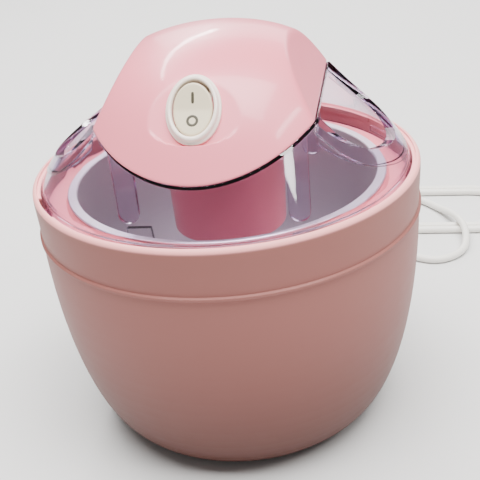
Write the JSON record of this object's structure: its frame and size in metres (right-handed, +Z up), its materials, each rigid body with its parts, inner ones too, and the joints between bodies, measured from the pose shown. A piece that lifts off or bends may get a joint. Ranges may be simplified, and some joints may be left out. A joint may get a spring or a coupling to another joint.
{
  "type": "ice cream maker",
  "caption": "Small electric ice cream maker: round pink tub with a removable freezer bowl, clear lid with two pour openings, and a bridge-shaped motor unit that turns a paddle.",
  "frame": {"origin": "on the supporting surface, below the axis of the bowl", "axes": "+Z up along the bowl's axis, -Y towards the front where the switch faces, +X to the right as seen from the front"},
  "size_m": [0.2739, 0.3464, 0.2024],
  "materials": {
    "casing_pink": "glossy moulded plastic",
    "cover_pink": "glossy moulded plastic",
    "clear_plastic": "clear moulded plastic",
    "aluminium": "satin, drawn",
    "rubber": "matt",
    "seal": "soft silicone",
    "gel": "translucent coolant gel, sealed in",
    "ivory": "semi-gloss",
    "white_plastic": "semi-gloss",
    "gear_plastic": "natural acetal",
    "steel": "bright zinc",
    "brass": "turned",
    "copper": "lacquered copper wire",
    "magnet": "ferrite",
    "wire_brown": "PVC",
    "wire_blue": "PVC",
    "cord_white": "soft PVC"
  },
  "bodies": {
    "casing": {"outer_casing": "casing_pink", "rubber_feet": "rubber"},
    "freezer_bowl": {"bowl_shell": "casing_pink", "bowl_liner": "aluminium", "coolant_gel": "gel", "bowl_seal": "seal", "fill_plug": "white_plastic"},
    "lid": {"clear_lid": "clear_plastic"},
    "motor_unit": {"motor_cover": "cover_pink", "motor_pod": "cover_pink", "cover_screws": "steel", "switch_body": "ivory", "switch_terminals": "brass", "gearbox_cup": "white_plastic", "motor_screws": "steel", "gear_pins": "steel", "gear_plate": "steel", "motor_can": "steel", "coil_bobbin": "white_plastic", "coil_winding": "copper", "pole_cage": "steel", "output_bush": "brass", "live_wire": "wire_brown", "neutral_wire": "wire_blue", "switched_wire": "wire_brown", "cord_gland": "cord_white", "cord_lead": "cord_white", "cord_hank": "cord_white", "cord_tail": "cord_white", "plug_body": "cord_white", "plug_pins": "steel"},
    "rocker": {"switch_rocker": "ivory"},
    "rotor": {"rotor_magnet": "magnet", "rotor_shaft": "steel", "rotor_pinion": "brass"},
    "first_gear_body": {"first_gear": "gear_plastic"},
    "second_gear_body": {"second_gear": "gear_plastic"},
    "output": {"output_gear": "gear_plastic", "output_shaft": "steel"},
    "paddle_body": {"paddle": "clear_plastic"}
  },
  "joints": [
    {"name": "bowl_lift", "type": "slide", "parent": "casing", "child": "freezer_bowl", "axis": [0, 0, 1], "range_m": [0, 0.13]},
    {"name": "lid_lift", "type": "slide", "parent": "freezer_bowl", "child": "lid", "axis": [0, 0, 1], "range_m": [0, 0.06]},
    {"name": "motor_lift", "type": "slide", "parent": "lid", "child": "motor_unit", "axis": [0, 0, 1], "range_m": [0, 0.08]},
    {"name": "rocker_tilt", "type": "hinge", "parent": "motor_unit", "child": "rocker", "pos_m": [0, -0.05331, 0.18026], "axis": [-1, 0, 0], "range_deg": [0, 14]},
    {"name": "paddle_spin", "type": "hinge", "parent": "freezer_bowl", "child": "paddle_body", "pos_m": [0, 0, 0.06], "axis": [0, 0, 1], "continuous": true},
    {"name": "output_spin", "type": "hinge", "parent": "motor_unit", "child": "output", "pos_m": [0, 0, 0.1], "axis": [0, 0, 1], "continuous": true},
    {"name": "second_gear_spin", "type": "hinge", "parent": "motor_unit", "child": "second_gear_body", "pos_m": [0.01039, -0.006, 0.112], "axis": [0, 0, 1], "continuous": true},
    {"name": "first_gear_spin", "type": "hinge", "parent": "motor_unit", "child": "first_gear_body", "pos_m": [0.01039, 0.006, 0.115], "axis": [0, 0, 1], "continuous": true},
    {"name": "rotor_spin", "type": "hinge", "parent": "motor_unit", "child": "rotor", "pos_m": [0, 0, 0.126], "axis": [0, 0, 1], "continuous": true}
  ],
  "couplings": [
    {"joint": "output_spin", "follows": "paddle_spin", "ratio": 1},
    {"joint": "second_gear_spin", "follows": "paddle_spin", "ratio": -2},
    {"joint": "first_gear_spin", "follows": "paddle_spin", "ratio": 6},
    {"joint": "rotor_spin", "follows": "paddle_spin", "ratio": -18}
  ]
}
